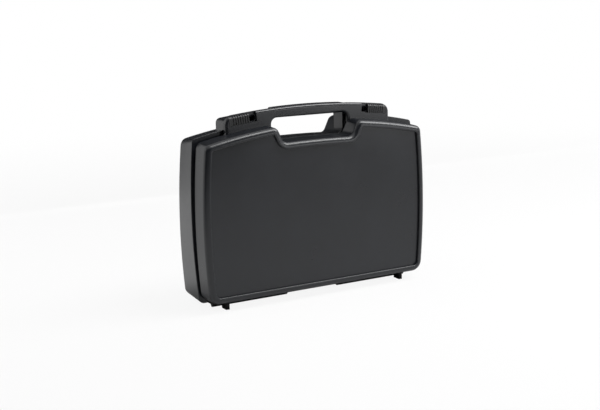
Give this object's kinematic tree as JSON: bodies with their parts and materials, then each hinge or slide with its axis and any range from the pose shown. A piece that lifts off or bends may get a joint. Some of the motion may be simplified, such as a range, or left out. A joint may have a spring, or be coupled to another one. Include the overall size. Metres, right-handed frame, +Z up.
{
  "type": "carrying case",
  "caption": "Flat moulded plastic carrying case with a hinged lid, a handle moulded on the lid, sliding latches, feet, and cut foam inside.",
  "frame": {"origin": "on the standing plane, below the middle of the closed case's bounding box", "axes": "+X to the right along the case's width, +Y to the rear, from the lid's front to the base's back, +Z up"},
  "size_m": [0.4078, 0.1, 0.3035],
  "materials": {
    "shell_black": "satin",
    "latch_black": "satin",
    "hinge_black": "matte",
    "rubber_black": "matte",
    "pin_steel": "drawn",
    "foam_dark_grey": "open-cell foam"
  },
  "bodies": {
    "base": {"base_shell": "shell_black", "foam_insert": "foam_dark_grey", "base_pad": "foam_dark_grey", "rear_foot_right": "rubber_black", "rear_foot_left": "rubber_black", "base_hinge_leaf_right": "hinge_black", "base_hinge_leaf_left": "hinge_black", "hinge_pin_right": "pin_steel", "hinge_pin_left": "pin_steel"},
    "lid": {"lid_shell": "shell_black", "lid_foam": "foam_dark_grey", "front_foot_right": "rubber_black", "front_foot_left": "rubber_black", "lid_hinge_leaf_right": "hinge_black", "lid_hinge_leaf_left": "hinge_black"},
    "latch_right": {"latch_button_right": "latch_black", "latch_bolt_right": "latch_black"},
    "latch_left": {"latch_button_left": "latch_black", "latch_bolt_left": "latch_black"}
  },
  "joints": [
    {"name": "lid_hinge", "type": "hinge", "parent": "base", "child": "lid", "pos_m": [0, -0.014, 0.006], "axis": [1, 0, 0], "range_deg": [0, 100]},
    {"name": "latch_right_slide", "type": "slide", "parent": "lid", "child": "latch_right", "axis": [-0.9941, 0, 0.1087], "range_m": [0, 0.0125]},
    {"name": "latch_left_slide", "type": "slide", "parent": "lid", "child": "latch_left", "axis": [0.9941, 0, 0.1087], "range_m": [0, 0.0125]}
  ]
}
